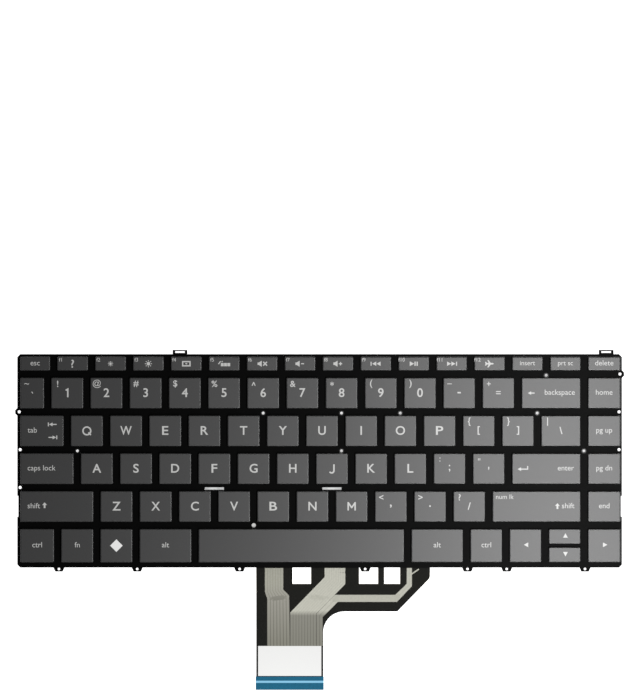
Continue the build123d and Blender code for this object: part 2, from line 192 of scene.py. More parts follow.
# Stage, light and camera, with lengths in metres but for the shade's inset
FLOOR_HALF = 6
FLOOR_Z = -0.00006
FLOOR_GLOW = 0.92
FLOOR_SHADE = 0.15
FLOOR_BOUNCE = 0.55
SHADE_INSET = 5.0
SHADE_BLEND = 1.2
WORLD_LIGHT = 0.2
SOFTBOX = {"spot": (0.178, -0.17, 1.029), "aim": (-0.038, -0.07, 0.0), "size": (0.052, 0.7), "power": 7.6}
FRONT_LIGHT = {
    "spot": (-0.014, -0.115, 0.11),
    "aim": (-0.014, -0.1149, 0.0),
    "size": (0.05, 0.05),
    "power": 0.043,
}
CAMERA_DISTANCE = 2.5
SENSOR_WIDTH = 36

FIXED_ROWS = (
    "escape f1 f2 f3 f4 f5 f6 f7 f8 f9 f10 f11 f12 insert print_screen delete",
    "grave minus equals home",
    "tab left_bracket right_bracket backslash page_up",
    "caps_lock semicolon quote page_down",
    "left_shift comma period slash right_shift end",
    "left_ctrl fn launcher left_alt right_alt right_ctrl",
)


def photo_point(px, py):
    """The place on the keyboard, in mm, of a pixel of the photograph."""
    return (px - PLATE_MIDDLE_PX) / PX_PER_MM, PLATE_FRONT_Y + (PLATE_FRONT_PX - py) / PX_PER_MM


def box_mm(node):
    low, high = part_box(node)
    return Vector(low) / MM, Vector(high) / MM


def islands(node):
    """The boxes of a node's separate solids in mm, row by row from the rear and left to right in each."""
    bm = bmesh.new()
    bm.from_mesh(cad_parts[node].data)
    bmesh.ops.remove_doubles(bm, verts=bm.verts, dist=1e-7)
    found, seen = [], set()
    for start in bm.verts:
        if start in seen:
            continue
        seen.add(start)
        queue, group = [start], []
        while queue:
            vert = queue.pop()
            group.append(vert.co / MM)
            for edge in vert.link_edges:
                other = edge.other_vert(vert)
                if other not in seen:
                    seen.add(other)
                    queue.append(other)
        low = Vector(min(co[i] for co in group) for i in range(3))
        high = Vector(max(co[i] for co in group) for i in range(3))
        found.append((low, high))
    bm.free()
    return sorted(found, key=lambda b: (-round(b[1].y, 1), b[0].x))


# Mesh tools


def piece(name, bm, material, body="base", replaces=(), smooth=True):
    """Writes a mesh worked out in mm as one piece of the scene that rides on a body."""
    bmesh.ops.recalc_face_normals(bm, faces=bm.faces)
    bmesh.ops.scale(bm, vec=(MM, MM, MM), verts=bm.verts)
    for face in bm.faces:
        face.smooth = smooth and face.smooth
    mesh = bpy.data.meshes.new(name)
    bm.to_mesh(mesh)
    bm.free()
    mesh.materials.append(material)
    if smooth:
        mesh.set_sharp_from_angle(angle=math.radians(SHARP_DEGREES))
    obj = bpy.data.objects.new(name, mesh)
    bpy.context.scene.collection.objects.link(obj)
    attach(obj, body)
    if replaces:
        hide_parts(*replaces)
    return obj


def skin(bm, loops, around=False):
    """Faces between rings of as many points each, with the ends filled, or joined up for around."""
    rings = [[bm.verts.new(point) for point in loop] for loop in loops]
    pairs = list(zip(rings, rings[1:]))
    if around:
        pairs.append((rings[-1], rings[0]))
    else:
        bm.faces.new(rings[0])
        bm.faces.new(rings[-1])
    for ring_a, ring_b in pairs:
        for i, vert in enumerate(ring_a):
            face = bm.faces.new((ring_a[i - 1], vert, ring_b[i], ring_b[i - 1]))
            face.smooth = True
    return rings


def rounded_outline(low, high, inset, corner, z, steps=CORNER_STEPS):
    """A rectangle's outline with round corners, pulled in by inset."""
    x0, y0, x1, y1 = low.x + inset, low.y + inset, high.x - inset, high.y - inset
    corner = min(max(corner, LEAST_CORNER), (x1 - x0) / 2, (y1 - y0) / 2)
    points = []
    for quarter, (cx, cy) in enumerate(((x1, y1), (x0, y1), (x0, y0), (x1, y0))):
        mx = cx - math.copysign(corner, cx - (x0 + x1) / 2)
        my = cy - math.copysign(corner, cy - (y0 + y1) / 2)
        for step in range(steps + 1):
            angle = math.radians(90 * (quarter + step / steps))
            points.append(Vector((mx + corner * math.cos(angle), my + corner * math.sin(angle), z)))
    return points


def prism(bm, outline, low, high):
    """A closed prism over a flat outline of (x, y) points."""
    skin(bm, [[Vector((x, y, z)) for x, y in outline] for z in (low, high)])


def ribbon(points, width, closed=False):
    """The two edges of a flat line of constant width with mitred corners."""
    count = len(points)
    left, right = [], []
    for i, point in enumerate(points):
        here = Vector(point)
        before = Vector(points[i - 1]) if i or closed else None
        after = Vector(points[(i + 1) % count]) if i + 1 < count or closed else None
        along_in = (here - before).normalized() if before else (after - here).normalized()
        along_out = (after - here).normalized() if after else along_in
        middle = (along_in + along_out).normalized()
        side = Vector((-middle.y, middle.x)) * width / 2 / max(middle.dot(along_in), 0.35)
        left.append(here + side)
        right.append(here - side)
    return left, right


def stroke(bm, points, width, low, high, closed=False):
    """A closed solid line drawn through (x, y) points."""
    left, right = ribbon(points, width, closed)
    rings = []
    for a, b in zip(left, right):
        corners = ((a, low), (b, low), (b, high), (a, high))
        rings.append([Vector((p.x, p.y, z)) for p, z in corners])
    skin(bm, rings, around=closed)


def arc(cx, cy, radius, start, end, steps=10):
    angles = [math.radians(start + (end - start) * i / steps) for i in range(steps + 1)]
    return [(cx + radius * math.cos(a), cy + radius * math.sin(a)) for a in angles]


def tube(bm, path, radius, sides=8):
    """A closed round bar along a path of points that lie in one smooth run."""
    rings = []
    for i, point in enumerate(path):
        before, after = path[max(i - 1, 0)], path[min(i + 1, len(path) - 1)]
        along = (after - before).normalized()
        across = along.cross(Vector((0.31, 0.17, 1))).normalized()
        over = across.cross(along)
        turns = [math.tau * k / sides for k in range(sides)]
        rings.append([point + radius * (across * math.cos(t) + over * math.sin(t)) for t in turns])
    skin(bm, rings)


# Materials


def new_material(name):
    material = bpy.data.materials.new(name)
    material.use_nodes = True
    nodes = material.node_tree.nodes
    return material, nodes, material.node_tree.links, nodes["Principled BSDF"]


def noise(nodes, links, scale, detail=2.0, stretch=(1, 1, 1)):
    """A noise field in the frame's coordinates, with scale in grains per metre."""
    coords = nodes.new("ShaderNodeTexCoord")
    mapping = nodes.new("ShaderNodeMapping")
    mapping.inputs["Scale"].default_value = stretch
    links.new(coords.outputs["Object"], mapping.inputs["Vector"])
    field = nodes.new("ShaderNodeTexNoise")
    field.inputs["Scale"].default_value = scale
    field.inputs["Detail"].default_value = detail
    links.new(mapping.outputs["Vector"], field.inputs["Vector"])
    return field.outputs["Fac"]


def ramp(nodes, links, factor, stops):
    node = nodes.new("ShaderNodeValToRGB")
    elements = node.color_ramp.elements
    while len(elements) < len(stops):
        elements.new(0.5)
    for element, (at, colour) in zip(elements, stops):
        element.position = at
        element.color = (*colour, 1)
    links.new(factor, node.inputs["Fac"])
    return node.outputs["Color"]


def shade(colour, factor):
    return tuple(min(channel * factor, 1) for channel in colour)


def finish(name, colour, roughness, grain, spread=0.12, bump=0.1, detail=2.0, stretch=(1, 1, 1),
           metallic=0.0, specular=0.5, flat=False):
    """A finish with a fine grain in colour, roughness and relief. For flat, faces keep their own normals."""
    material, nodes, links, bsdf = new_material(name)
    field = noise(nodes, links, grain, detail, stretch)
    colours = ramp(nodes, links, field, ((0.3, shade(colour, 1 - spread)), (0.7, shade(colour, 1 + spread))))
    links.new(colours, bsdf.inputs["Base Color"])
    rough = nodes.new("ShaderNodeMapRange")
    rough.inputs["To Min"].default_value = max(roughness - ROUGH_SWING, ROUGH_LEAST)
    rough.inputs["To Max"].default_value = min(roughness + ROUGH_SWING, 1)
    links.new(field, rough.inputs["Value"])
    links.new(rough.outputs["Result"], bsdf.inputs["Roughness"])
    relief = nodes.new("ShaderNodeBump")
    relief.inputs["Strength"].default_value = bump
    relief.inputs["Distance"].default_value = GRAIN_DEPTH
    links.new(field, relief.inputs["Height"])
    if flat:
        links.new(nodes.new("ShaderNodeNewGeometry").outputs["True Normal"], relief.inputs["Normal"])
    links.new(relief.outputs["Normal"], bsdf.inputs["Normal"])
    bsdf.inputs["Metallic"].default_value = metallic
    bsdf.inputs["Specular IOR Level"].default_value = specular
    return material


def place(nodes, links, axis):
    """One coordinate of the place in the frame, in metres."""
    split = nodes.new("ShaderNodeSeparateXYZ")
    links.new(nodes.new("ShaderNodeTexCoord").outputs["Object"], split.inputs["Vector"])
    return split.outputs[axis]


def facing(nodes, links, axis):
    """One part of the surface's direction."""
    split = nodes.new("ShaderNodeSeparateXYZ")
    links.new(nodes.new("ShaderNodeNewGeometry").outputs["Normal"], split.inputs["Vector"])
    return split.outputs[axis]


def rise(nodes, links, value, start, end):
    """Grows from 0 at start to 1 at end, and stays level outside them."""
    node = nodes.new("ShaderNodeMapRange")
    node.inputs["From Min"].default_value = start
    node.inputs["From Max"].default_value = end
    links.new(value, node.inputs["Value"])
    return node.outputs["Result"]


def combine(nodes, links, operation, a, b):
    node = nodes.new("ShaderNodeMath")
    node.operation = operation
    for socket, value in zip(node.inputs, (a, b)):
        if isinstance(value, (int, float)):
            socket.default_value = value
        else:
            links.new(value, socket)
    return node.outputs["Value"]


def tint(material, factor, colour):
    """Mixes one more colour into a finish where the factor grows to 1."""
    nodes, links = material.node_tree.nodes, material.node_tree.links
    base = nodes["Principled BSDF"].inputs["Base Color"]
    mix = nodes.new("ShaderNodeMix")
    mix.data_type = "RGBA"
    mix.inputs["B"].default_value = (*colour, 1)
    links.new(factor, mix.inputs["Factor"])
    links.new(base.links[0].from_socket, mix.inputs["A"])
    links.new(mix.outputs["Result"], base)


def tools(material):
    return material.node_tree.nodes, material.node_tree.links


def keycap_finish():
    """Satin moulded plastic with a fine spark-eroded grain, and a painted highlight: a little paler along
    the rounded edges.
    """
    material = finish("keycap_plastic", (0.023, 0.023, 0.0234), 0.303, 7000, spread=0.1, bump=0.12,
                      specular=0.4)
    nodes, links = tools(material)
    edge = nodes.new("ShaderNodeAttribute")
    edge.attribute_name = "edge"
    # Painted highlight: paler where the edge weight is set, along the rounded top edge and the foot
    tint(material, edge.outputs["Fac"], (0.031, 0.031, 0.0315))
    return material


def reach_of(nodes, links, places):
    """How far a point is from the nearest of the places, which are in mm, seen from above."""
    nearest = None
    for x, y in places:
        squares = []
        for axis, centre in (("X", x), ("Y", y)):
            offset = combine(nodes, links, "SUBTRACT", place(nodes, links, axis), centre * MM)
            squares.append(combine(nodes, links, "MULTIPLY", offset, offset))
        reach = combine(nodes, links, "SQRT", combine(nodes, links, "ADD", *squares), 0)
        nearest = combine(nodes, links, "MINIMUM", nearest, reach) if nearest else reach
    return nearest


def disc(nodes, links, places, radius):
    """1 within the radius of any of the places, all in mm, and 0 outside."""
    reach = reach_of(nodes, links, places)
    return rise(nodes, links, reach, radius * (1 + SPOT_EDGE) * MM, radius * (1 - SPOT_EDGE) * MM)


def boss_finish():
    """Nickel, with painted shade: a darker ring around each bore, and up-facing faces darkened near black
    where they show at the front.
    """
    material = finish("boss_nickel", (0.55, 0.54, 0.52), 0.3, 3000, spread=0.12, bump=0.15, metallic=1.0)
    nodes, links = tools(material)
    places = [((low + high) / 2).xy for low, high in islands("screw_bosses")]
    # Painted shade: a darker ring around each bore
    tint(material, disc(nodes, links, places, BOSS_SEAT_SHADE), (0.16, 0.16, 0.15))
    # Painted shade: faces that look up are darkened near black
    tint(material, rise(nodes, links, facing(nodes, links, "Z"), *FACING), (0.012, 0.012, 0.012))
    return material


def membrane_finish():
    """Black printed film, painted darker on the deck as shade between the keys, with blue ground and
    contacts behind the tail's end.
    """
    material = finish("membrane_print_and_shade", (0.0122, 0.0122, 0.0106), 0.3, 2500, spread=0.25, bump=0.06,
                      specular=0.015)
    nodes, links = tools(material)
    along = place(nodes, links, "Y")
    deck = rise(nodes, links, along, (PLATE_FRONT_Y - DECK_SHADE_BLEND) * MM, PLATE_FRONT_Y * MM)
    # Painted shade: the film is darkened behind the plate's front edge, where it shows between the keys
    tint(material, deck, (0.0018, 0.0018, 0.0018))
    left, right, front = (box_mm("key_" + name) for name in ("v", "b", "space"))
    light_hole = ((left[1].x + right[0].x) / 2, (left[0].y + front[1].y) / 2)
    tint(material, disc(nodes, links, [light_hole], LIGHT_HOLE_RIM), (0.75, 0.75, 0.73))
    tail_end = box_mm("membrane")[0].y + TAIL_CONTACT_LENGTH
    at_end = rise(nodes, links, along, (tail_end + PRINT_EDGE / 2) * MM, tail_end * MM)
    below = rise(nodes, links, facing(nodes, links, "Z"), *(-level for level in FACING))
    behind = combine(nodes, links, "MULTIPLY", below, at_end)
    tint(material, behind, (0.027, 0.073, 0.095))
    across = combine(nodes, links, "MULTIPLY", place(nodes, links, "X"), 1 / (TAIL_CONTACT_PITCH * MM))
    stripe = combine(nodes, links, "PINGPONG", across, 0.5)
    contact = combine(nodes, links, "MULTIPLY", behind, rise(nodes, links, stripe, *TAIL_CONTACT_EDGE))
    tint(material, contact, (0.055, 0.105, 0.125))
    return material


def stiffener_finish():
    """Blue polyester with the pale line that shows how far the tail goes into its connector."""
    material = finish("stiffener_film", (0.0065, 0.109, 0.197), 0.35, 1500, spread=0.12, bump=0.05,
                      specular=0.04)
    nodes, links = tools(material)
    rear, front = (photo_point(0, py)[1] * MM for py in STIFFENER_LINE_PX)
    soft = PRINT_EDGE * MM
    along = place(nodes, links, "Y")
    line = combine(nodes, links, "MULTIPLY", rise(nodes, links, along, rear + soft, rear - soft),
                   rise(nodes, links, along, front - soft, front + soft))
    tint(material, line, (0.235, 0.52, 0.725))
    return material


def trace_finish(name, dim_px, colour, shade_mid, shade_end):
    """Silver ink under a clear coat, painted darker in two steps towards the tail's end as shade of how the
    light falls along the bent tail.
    """
    material = finish(name, colour, 0.45, 1500, spread=0.06, bump=0.1, specular=0.15)
    nodes, links = tools(material)
    along = place(nodes, links, "Y")
    edge_rear, edge_front = (photo_point(0, py)[1] * MM for py in dim_px)
    end = photo_point(0, TRACE_END_PX)[1] * MM
    # Painted shade: the ink darkens in two steps towards the tail's end
    tint(material, rise(nodes, links, along, edge_rear, edge_front), shade_mid)
    tint(material, rise(nodes, links, along, edge_front, end), shade_end)
    return material


def cover_finish():
    """Glossy black tape with two small white printed dots."""
    material = finish("cover_gloss", (0.0025, 0.0025, 0.003), 0.14, 300, spread=0.3, bump=0.05,
                      specular=0.06, flat=True)
    nodes, links = tools(material)
    tint(material, disc(nodes, links, TAPE_DOTS, TAPE_DOT_RADIUS), (0.7, 0.7, 0.68))
    return material


def flex_finish():
    """Amber film over copper, browned at the end that goes into its connector."""
    material = finish("flex_polyimide", (0.8, 0.25, 0.016), 0.3, 700, spread=0.15, bump=0.05, specular=0.2,
                      flat=True)
    nodes, links = tools(material)
    end = box_mm("light_strip")[0].y + FLEX_CONTACT
    at_end = rise(nodes, links, place(nodes, links, "Y"), (end + PRINT_EDGE) * MM, end * MM)
    tint(material, at_end, (0.09, 0.045, 0.016))
    return material


def stage_finish():
    """A white backdrop with a painted shadow where the sheets lie on it, that lets views from below pass."""
    material, nodes, links, bsdf = new_material("backdrop")
    bsdf.inputs["Base Color"].default_value = (0.9, 0.9, 0.9, 1)
    bsdf.inputs["Roughness"].default_value = 0.9
    bsdf.inputs["Emission Color"].default_value = (1, 1, 1, 1)
    low, high = box_mm("back_film")
    # Painted shadow: the backdrop glows less inside the sheets' outline
    covered = 1.0
    for axis, start, end in (("X", low.x, high.x), ("Y", low.y, high.y)):
        along = place(nodes, links, axis)
        for edge, inward in ((start, SHADE_INSET), (end, -SHADE_INSET)):
            inside = rise(nodes, links, along, (edge + inward) * MM, (edge + inward * SHADE_BLEND) * MM)
            covered = combine(nodes, links, "MULTIPLY", covered, inside)
    glow = nodes.new("ShaderNodeMapRange")
    glow.inputs["To Min"].default_value = FLOOR_GLOW
    glow.inputs["To Max"].default_value = FLOOR_SHADE
    links.new(covered, glow.inputs["Value"])
    seen = nodes.new("ShaderNodeLightPath")
    level = nodes.new("ShaderNodeMapRange")
    level.inputs["To Min"].default_value = FLOOR_BOUNCE
    links.new(glow.outputs["Result"], level.inputs["To Max"])
    links.new(seen.outputs["Is Camera Ray"], level.inputs["Value"])
    links.new(level.outputs["Result"], bsdf.inputs["Emission Strength"])
    under = nodes.new("ShaderNodeNewGeometry")
    clear = nodes.new("ShaderNodeBsdfTransparent")
    mix = nodes.new("ShaderNodeMixShader")
    links.new(under.outputs["Backfacing"], mix.inputs["Fac"])
    links.new(bsdf.outputs["BSDF"], mix.inputs[1])
    links.new(clear.outputs["BSDF"], mix.inputs[2])
    links.new(mix.outputs["Shader"], nodes["Material Output"].inputs["Surface"])
    return material


FINISHES = {
    "keycap": keycap_finish(),
    "legend": finish("legend_print", (0.52, 0.52, 0.507), 0.303, 9000, spread=0.05, bump=0.12,
                     specular=0.706),
    "launcher": finish("launcher_print", (0.85, 0.85, 0.84), 0.303, 9000, spread=0.05, bump=0.12,
                       specular=0.706),
    "plate": finish("plate_coat", (0.0018, 0.0018, 0.0018), 0.3, 5000, spread=0.3, bump=0.1,
                    specular=0.015),
    "boss": boss_finish(),
    "membrane_film": membrane_finish(),
    "stiffener": stiffener_finish(),
    "label": finish("label_paper", (0.79, 0.79, 0.78), 0.6, 4000, spread=0.03, bump=0.1, detail=4),
    "liner": finish("liner_paper", (0.66, 0.56, 0.33), 0.6, 900, spread=0.08, bump=0.15, detail=6,
                    specular=0.2, flat=True),
    "dome": finish("dome_rubber", (0.42, 0.42, 0.4), 0.5, 4000, spread=0.08, bump=0.1),
    "link": finish("link_plastic", (0.03, 0.03, 0.03), 0.4, 4000, spread=0.1, bump=0.1),
    "wire": finish("wire_steel", (0.55, 0.55, 0.56), 0.3, 6000, spread=0.1, bump=0.1, metallic=1.0),
    "light_guide": finish("guide_acrylic", (0.85, 0.86, 0.86), 0.2, 1200, spread=0.04, bump=0.1),
    "back_film": finish("back_polyester", (0.008, 0.008, 0.0082), 0.5, 1800, spread=0.35, bump=0.25,
                        stretch=(0.25, 1, 1), specular=0.08, flat=True),
    "flex": flex_finish(),
    "lamp": finish("lamp_phosphor", (0.8, 0.7, 0.2), 0.4, 3000, spread=0.1),
    "cover_tape": cover_finish(),
    "hold_tape": finish("hold_cloth", (0.58, 0.6, 0.6), 0.55, 2500, spread=0.12, bump=0.3, detail=4,
                        specular=0.2, flat=True),
    "contact": finish("contact_copper", (0.85, 0.4, 0.1), 0.35, 3000, spread=0.1, bump=0.1, metallic=1.0),
    "left_ground": trace_finish("left_ground", LEFT_DIM_PX, (0.3, 0.297, 0.247), (0.215, 0.21, 0.176),
                                (0.115, 0.113, 0.089)),
    "left_lines": trace_finish("left_silver", LEFT_DIM_PX, (0.365, 0.36, 0.302), (0.31, 0.3, 0.26),
                               (0.205, 0.2, 0.162)),
    "pale_ground": trace_finish("pale_ground", PALE_DIM_PX, (0.465, 0.462, 0.395), (0.175, 0.172, 0.144),
                                (0.132, 0.129, 0.104)),
    "pale_lines": trace_finish("pale_silver", PALE_DIM_PX, (0.52, 0.516, 0.445), (0.235, 0.23, 0.196),
                               (0.2, 0.197, 0.162)),
}


def dress_cad():
    """Gives every CAD node that stays in view the finish of its slot."""
    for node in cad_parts.values():
        slot_name = node.data.materials[0].name
        node.data.materials[0] = FINISHES[slot_name]


# Keycaps


def add_cap(bm, low, high):
    """One hollow cap: drafted sides, a rounded top edge and a roof over an open underside."""
    edge_layer = bm.verts.layers.float.get("edge") or bm.verts.layers.float.new("edge")
    top = high.z - LEGEND_RISE
    # Each step is an inset, a height and the weight of the painted highlight on that ring
    steps = [
        (CAP_RIM + CAP_ROOF_INSET, high.z - CAP_ROOF, 0),
        (CAP_RIM + CAP_ROOF_FILLET[0], high.z - CAP_ROOF - CAP_ROOF_FILLET[1], 0),
        (CAP_RIM, low.z, 0),
        (CAP_FOOT, low.z, 0),
        (0.0, low.z + CAP_FOOT, FOOT_HIGHLIGHT),
        (CAP_DRAFT * CAP_DRAFT_SHARE, top - CAP_EDGE - CAP_SHOULDER, 0),
    ]
    for i in range(EDGE_STEPS + 1):
        turn = math.radians(90 * i / EDGE_STEPS)
        inset = CAP_DRAFT + CAP_EDGE * (1 - math.cos(turn))
        steps.append((inset, top - CAP_EDGE * (1 - math.sin(turn)), math.sin(2 * turn) * EDGE_HIGHLIGHT))
    steps.append((CAP_DRAFT + CAP_EDGE + CAP_FLAT, top, 0))
    loops = []
    for inset, z, highlight in steps:
        loops.append(rounded_outline(low, high, inset, CAP_CORNER - inset * CAP_CORNER_SHARE, z))
    rings = skin(bm, loops)
    for ring, (inset, z, highlight) in zip(rings, steps):
        for vert in ring:
            vert[edge_layer] = max(highlight, 0)


# Legends

GLYPHS = {}


def glyph_mesh(words, bold):
    """A text's solid outline for an em of one, kept for the next key that shows it."""
    if (words, bold) not in GLYPHS:
        curve = bpy.data.curves.new("glyph", "FONT")
        curve.body = words
        curve.offset = bold
        curve.resolution_u = 4
        curve.extrude = 0.5
        obj = bpy.data.objects.new("glyph", curve)
        bpy.context.scene.collection.objects.link(obj)
        bpy.context.view_layer.update()
        mesh = bpy.data.meshes.new_from_object(obj)
        bm = bmesh.new()
        bm.from_mesh(mesh)
        bmesh.ops.remove_doubles(bm, verts=bm.verts, dist=1e-5)
        bm.to_mesh(mesh)
        bm.free()
        GLYPHS[words, bold] = mesh
        bpy.data.objects.remove(obj)
        bpy.data.curves.remove(curve)
    return GLYPHS[words, bold]


class Legend:
    """The printed marks on one cap, drawn in mm from the cap's middle."""

    def __init__(self, bm, low, high):
        self.bm = bm
        self.middle = (low + high) / 2
        self.half = (high - low) / 2
        self.foot = high.z - LEGEND_RISE - LEGEND_ROOT
        self.top = high.z
        self.marks = 0

    def at(self, points):
        return [(self.middle.x + x, self.middle.y + y) for x, y in points]

    def text(self, words, em, x=0.0, y=0.0, side=0, stretch=1.0):
        """Words on the line y, with x at their middle, or at their left or right end for side -1 or 1."""
        mesh = glyph_mesh(words, BOLD if len(words) == 1 and words not in LIGHT_SIGNS else 0.0)
        xs = [v.co.x for v in mesh.vertices]
        ys = [v.co.y for v in mesh.vertices]
        anchor = (min(xs), (min(xs) + max(xs)) / 2, max(xs))[side + 1]
        tall = (min(ys) + max(ys)) / 2 if len(words) == 1 else WORD_MIDDLE
        verts = []
        for vert in mesh.vertices:
            place_x = self.middle.x + x + (vert.co.x - anchor) * em * stretch
            place_y = self.middle.y + y + (vert.co.y - tall) * em
            verts.append(self.bm.verts.new((place_x, place_y, self.top if vert.co.z > 0 else self.foot)))
        for polygon in mesh.polygons:
            self.bm.faces.new([verts[i] for i in polygon.vertices])

    def next_top(self):
        """A height of its own for each mark, so that marks which cross have no faces in one plane."""
        self.marks += 1
        return self.top - self.marks * LEGEND_STEP

    def line(self, points, width=ICON_STROKE, closed=False):
        stroke(self.bm, self.at(points), width, self.foot, self.next_top(), closed)

    def area(self, points):
        prism(self.bm, self.at(points), self.foot, self.next_top())

    def corner(self, dx=0.0, dy=0.0):
        """The place of the shifted sign, near the rear left corner."""
        return -self.half.x + CORNER_INSET[0] + dx, self.half.y - CORNER_INSET[1] + dy


def letter_j(legend):
    legend.line([(0.95, 2.1), (0.95, -0.9)] + arc(-0.15, -0.9, 1.1, -20, -150, 8), 0.72)


def letter_m(legend):
    legend.area([(-2.0, -1.85), (-1.3, -1.85), (-1.3, 0.75), (-0.2, -0.85), (0.2, -0.85), (1.3, 0.75),
                 (1.3, -1.85), (2.0, -1.85), (2.0, 2.15), (1.4, 2.15), (0, 0.1), (-1.4, 2.15), (-2.0, 2.15)])


def letter_q(legend):
    legend.line(arc(0, 0, 1.85, 0, 345, 24), GLYPH_STROKE, closed=True)
    legend.line([(0.75, -0.75), (1.95, -1.95)], GLYPH_STROKE)


def digit_one(legend):
    legend.line([(-0.75, 1.3), (0.25, 1.85), (0.25, -2.0)], GLYPH_STROKE)


def arrow_head(legend, x, y, size, turn):
    """A solid triangle that points to turn degrees from the right."""
    points = []
    for angle, reach in ((0, 0.62), (130, 0.78), (-130, 0.78)):
        a = math.radians(turn + angle)
        points.append((x + size * reach * math.cos(a), y + size * reach * math.sin(a)))
    legend.area(points)


def sun(legend, radius):
    legend.area(arc(0, 0, radius * 0.5, 0, 345, 23))
    for ray in range(8):
        a = math.radians(45 * ray)
        legend.line([(reach * math.cos(a), reach * math.sin(a)) for reach in (radius * 0.68, radius)], 0.36)


def speaker(legend):
    legend.area([(-2.2, -0.6), (-1.6, -0.6), (-0.2, -1.45), (-0.2, 1.45), (-1.6, 0.6), (-2.2, 0.6)])


def display_icon(legend):
    legend.line([(-1.75, -1.0), (1.75, -1.0), (1.75, 1.0), (-1.75, 1.0)], 0.62, closed=True)
    legend.area([(-0.6, 0), (0, -0.4), (0.6, 0), (0, 0.4)])


def key_light_icon(legend):
    for column in range(3):
        x = -0.95 + column * 1.55
        legend.area([(x - 0.68, -1.2), (x + 0.68, -1.2), (x + 0.68, 0.35), (x - 0.68, 0.35)])
    legend.line([(-2.8, -0.2), (-1.7, 1.2)], 0.5)
    legend.line([(-1.2, 0.75), (-0.8, 1.3)], 0.4)


def mute_icon(legend):
    speaker(legend)
    legend.line([(0.5, -0.9), (2.3, 0.9)], 0.6)
    legend.line([(0.5, 0.9), (2.3, -0.9)], 0.6)


def quieter_icon(legend):
    speaker(legend)
    legend.line([(0.5, 0), (1.9, 0)], 0.5)


def louder_icon(legend):
    speaker(legend)
    legend.line([(0.4, 0), (2.0, 0)], 0.5)
    legend.line([(1.2, -0.8), (1.2, 0.8)], 0.5)


def previous_icon(legend):
    legend.line([(-2.3, -0.95), (-2.3, 0.95)], 0.5)
    arrow_head(legend, -0.7, 0, 1.75, 180)
    arrow_head(legend, 1.35, 0, 1.75, 180)


def play_icon(legend):
    arrow_head(legend, -1.0, 0, 1.9, 0)
    legend.line([(0.6, -1.0), (0.6, 1.0)], 0.6)
    legend.line([(1.6, -1.0), (1.6, 1.0)], 0.6)


def next_icon(legend):
    arrow_head(legend, -1.35, 0, 1.75, 0)
    arrow_head(legend, 0.7, 0, 1.75, 0)
    legend.line([(2.3, -0.95), (2.3, 0.95)], 0.5)


def plane_icon(legend):
    """A small aircraft seen from above, nose to the right."""
    half = [(2.0, 0.0), (1.6, 0.36), (0.5, 0.4), (-0.5, 1.75), (-1.1, 1.75), (-0.5, 0.4), (-1.3, 0.36),
            (-1.75, 0.9), (-2.2, 0.9), (-1.95, 0.0)]
    legend.area(half + [(x, -y) for x, y in half[-2:0:-1]])


def tab_arrows(legend, x):
    for y, turn in ((3.1, -1), (-3.1, 1)):
        legend.line([(x + turn * 2.0, y - 0.9), (x + turn * 2.0, y + 0.9)], 0.5)
        legend.line([(x - turn * 1.95, y), (x + turn * 0.2, y)], 0.5)
        arrow_head(legend, x + turn * 0.75, y, 1.5, 0 if turn > 0 else 180)


def shift_arrow(legend, x, y):
    legend.area([(x - 0.42, y - 1.35), (x + 0.42, y - 1.35), (x + 0.42, y + 0.1), (x + 1.15, y + 0.1),
                 (x, y + 1.4), (x - 1.15, y + 0.1), (x - 0.42, y + 0.1)])


def back_arrow(legend, x):
    legend.line([(x - 0.4, 0), (x + 1.6, 0)], 0.5)
    arrow_head(legend, x - 0.75, 0, 1.4, 180)


def return_arrow(legend, x):
    legend.line([(x + 2.3, 1.3), (x + 2.3, -0.2), (x - 1.4, -0.2)], 0.5)
    arrow_head(legend, x - 1.6, -0.2, 1.5, 180)


def launcher_sign(legend):
    """A plain diamond, the general sign of a launcher key."""
    legend.area([(3.0, 0), (0, 3.0), (-3.0, 0), (0, -3.0)])


DRAWN = {"j": letter_j, "m": letter_m, "q": letter_q, "1": digit_one}
ICONS = {
    "f2": lambda mark: sun(mark, 1.2),
    "f3": lambda mark: sun(mark, 1.7),
    "f4": display_icon,
    "f5": key_light_icon,
    "f6": mute_icon,
    "f7": quieter_icon,
    "f8": louder_icon,
    "f9": previous_icon,
    "f10": play_icon,
    "f11": next_icon,
    "f12": plane_icon,
    "launcher": launcher_sign,
    "arrow_left": lambda mark: arrow_head(mark, *ARROW_SHIFT, ARROW_SIZE, 180),
    "arrow_right": lambda mark: arrow_head(mark, *ARROW_SHIFT, ARROW_SIZE, 0),
    "arrow_up": lambda mark: arrow_head(mark, *ARROW_SHIFT, ARROW_SIZE, 90),
    "arrow_down": lambda mark: arrow_head(mark, *ARROW_SHIFT, ARROW_SIZE, -90),
}
SHIFTED = dict(zip("1234567890", "!@#$%^&*()"))
PAIRS = {
    "grave": "`~",
    "minus": "-_",
    "equals": "=+",
    "left_bracket": "[{",
    "right_bracket": "]}",
    "backslash": "\\|",
    "semicolon": ";:",
    "quote": "'\"",
    "comma": ",<",
    "period": ".>",
    "slash": "/?",
}
TIGHT_WORDS = {"insert", "print_screen"}
WORDS = {
    "escape": "esc",
    "insert": "insert",
    "print_screen": "prt sc",
    "delete": "delete",
    "home": "home",
    "page_up": "pg up",
    "page_down": "pg dn",
    "end": "end",
    "left_ctrl": "ctrl",
    "fn": "fn",
    "left_alt": "alt",
    "right_alt": "alt",
    "right_ctrl": "ctrl",
}


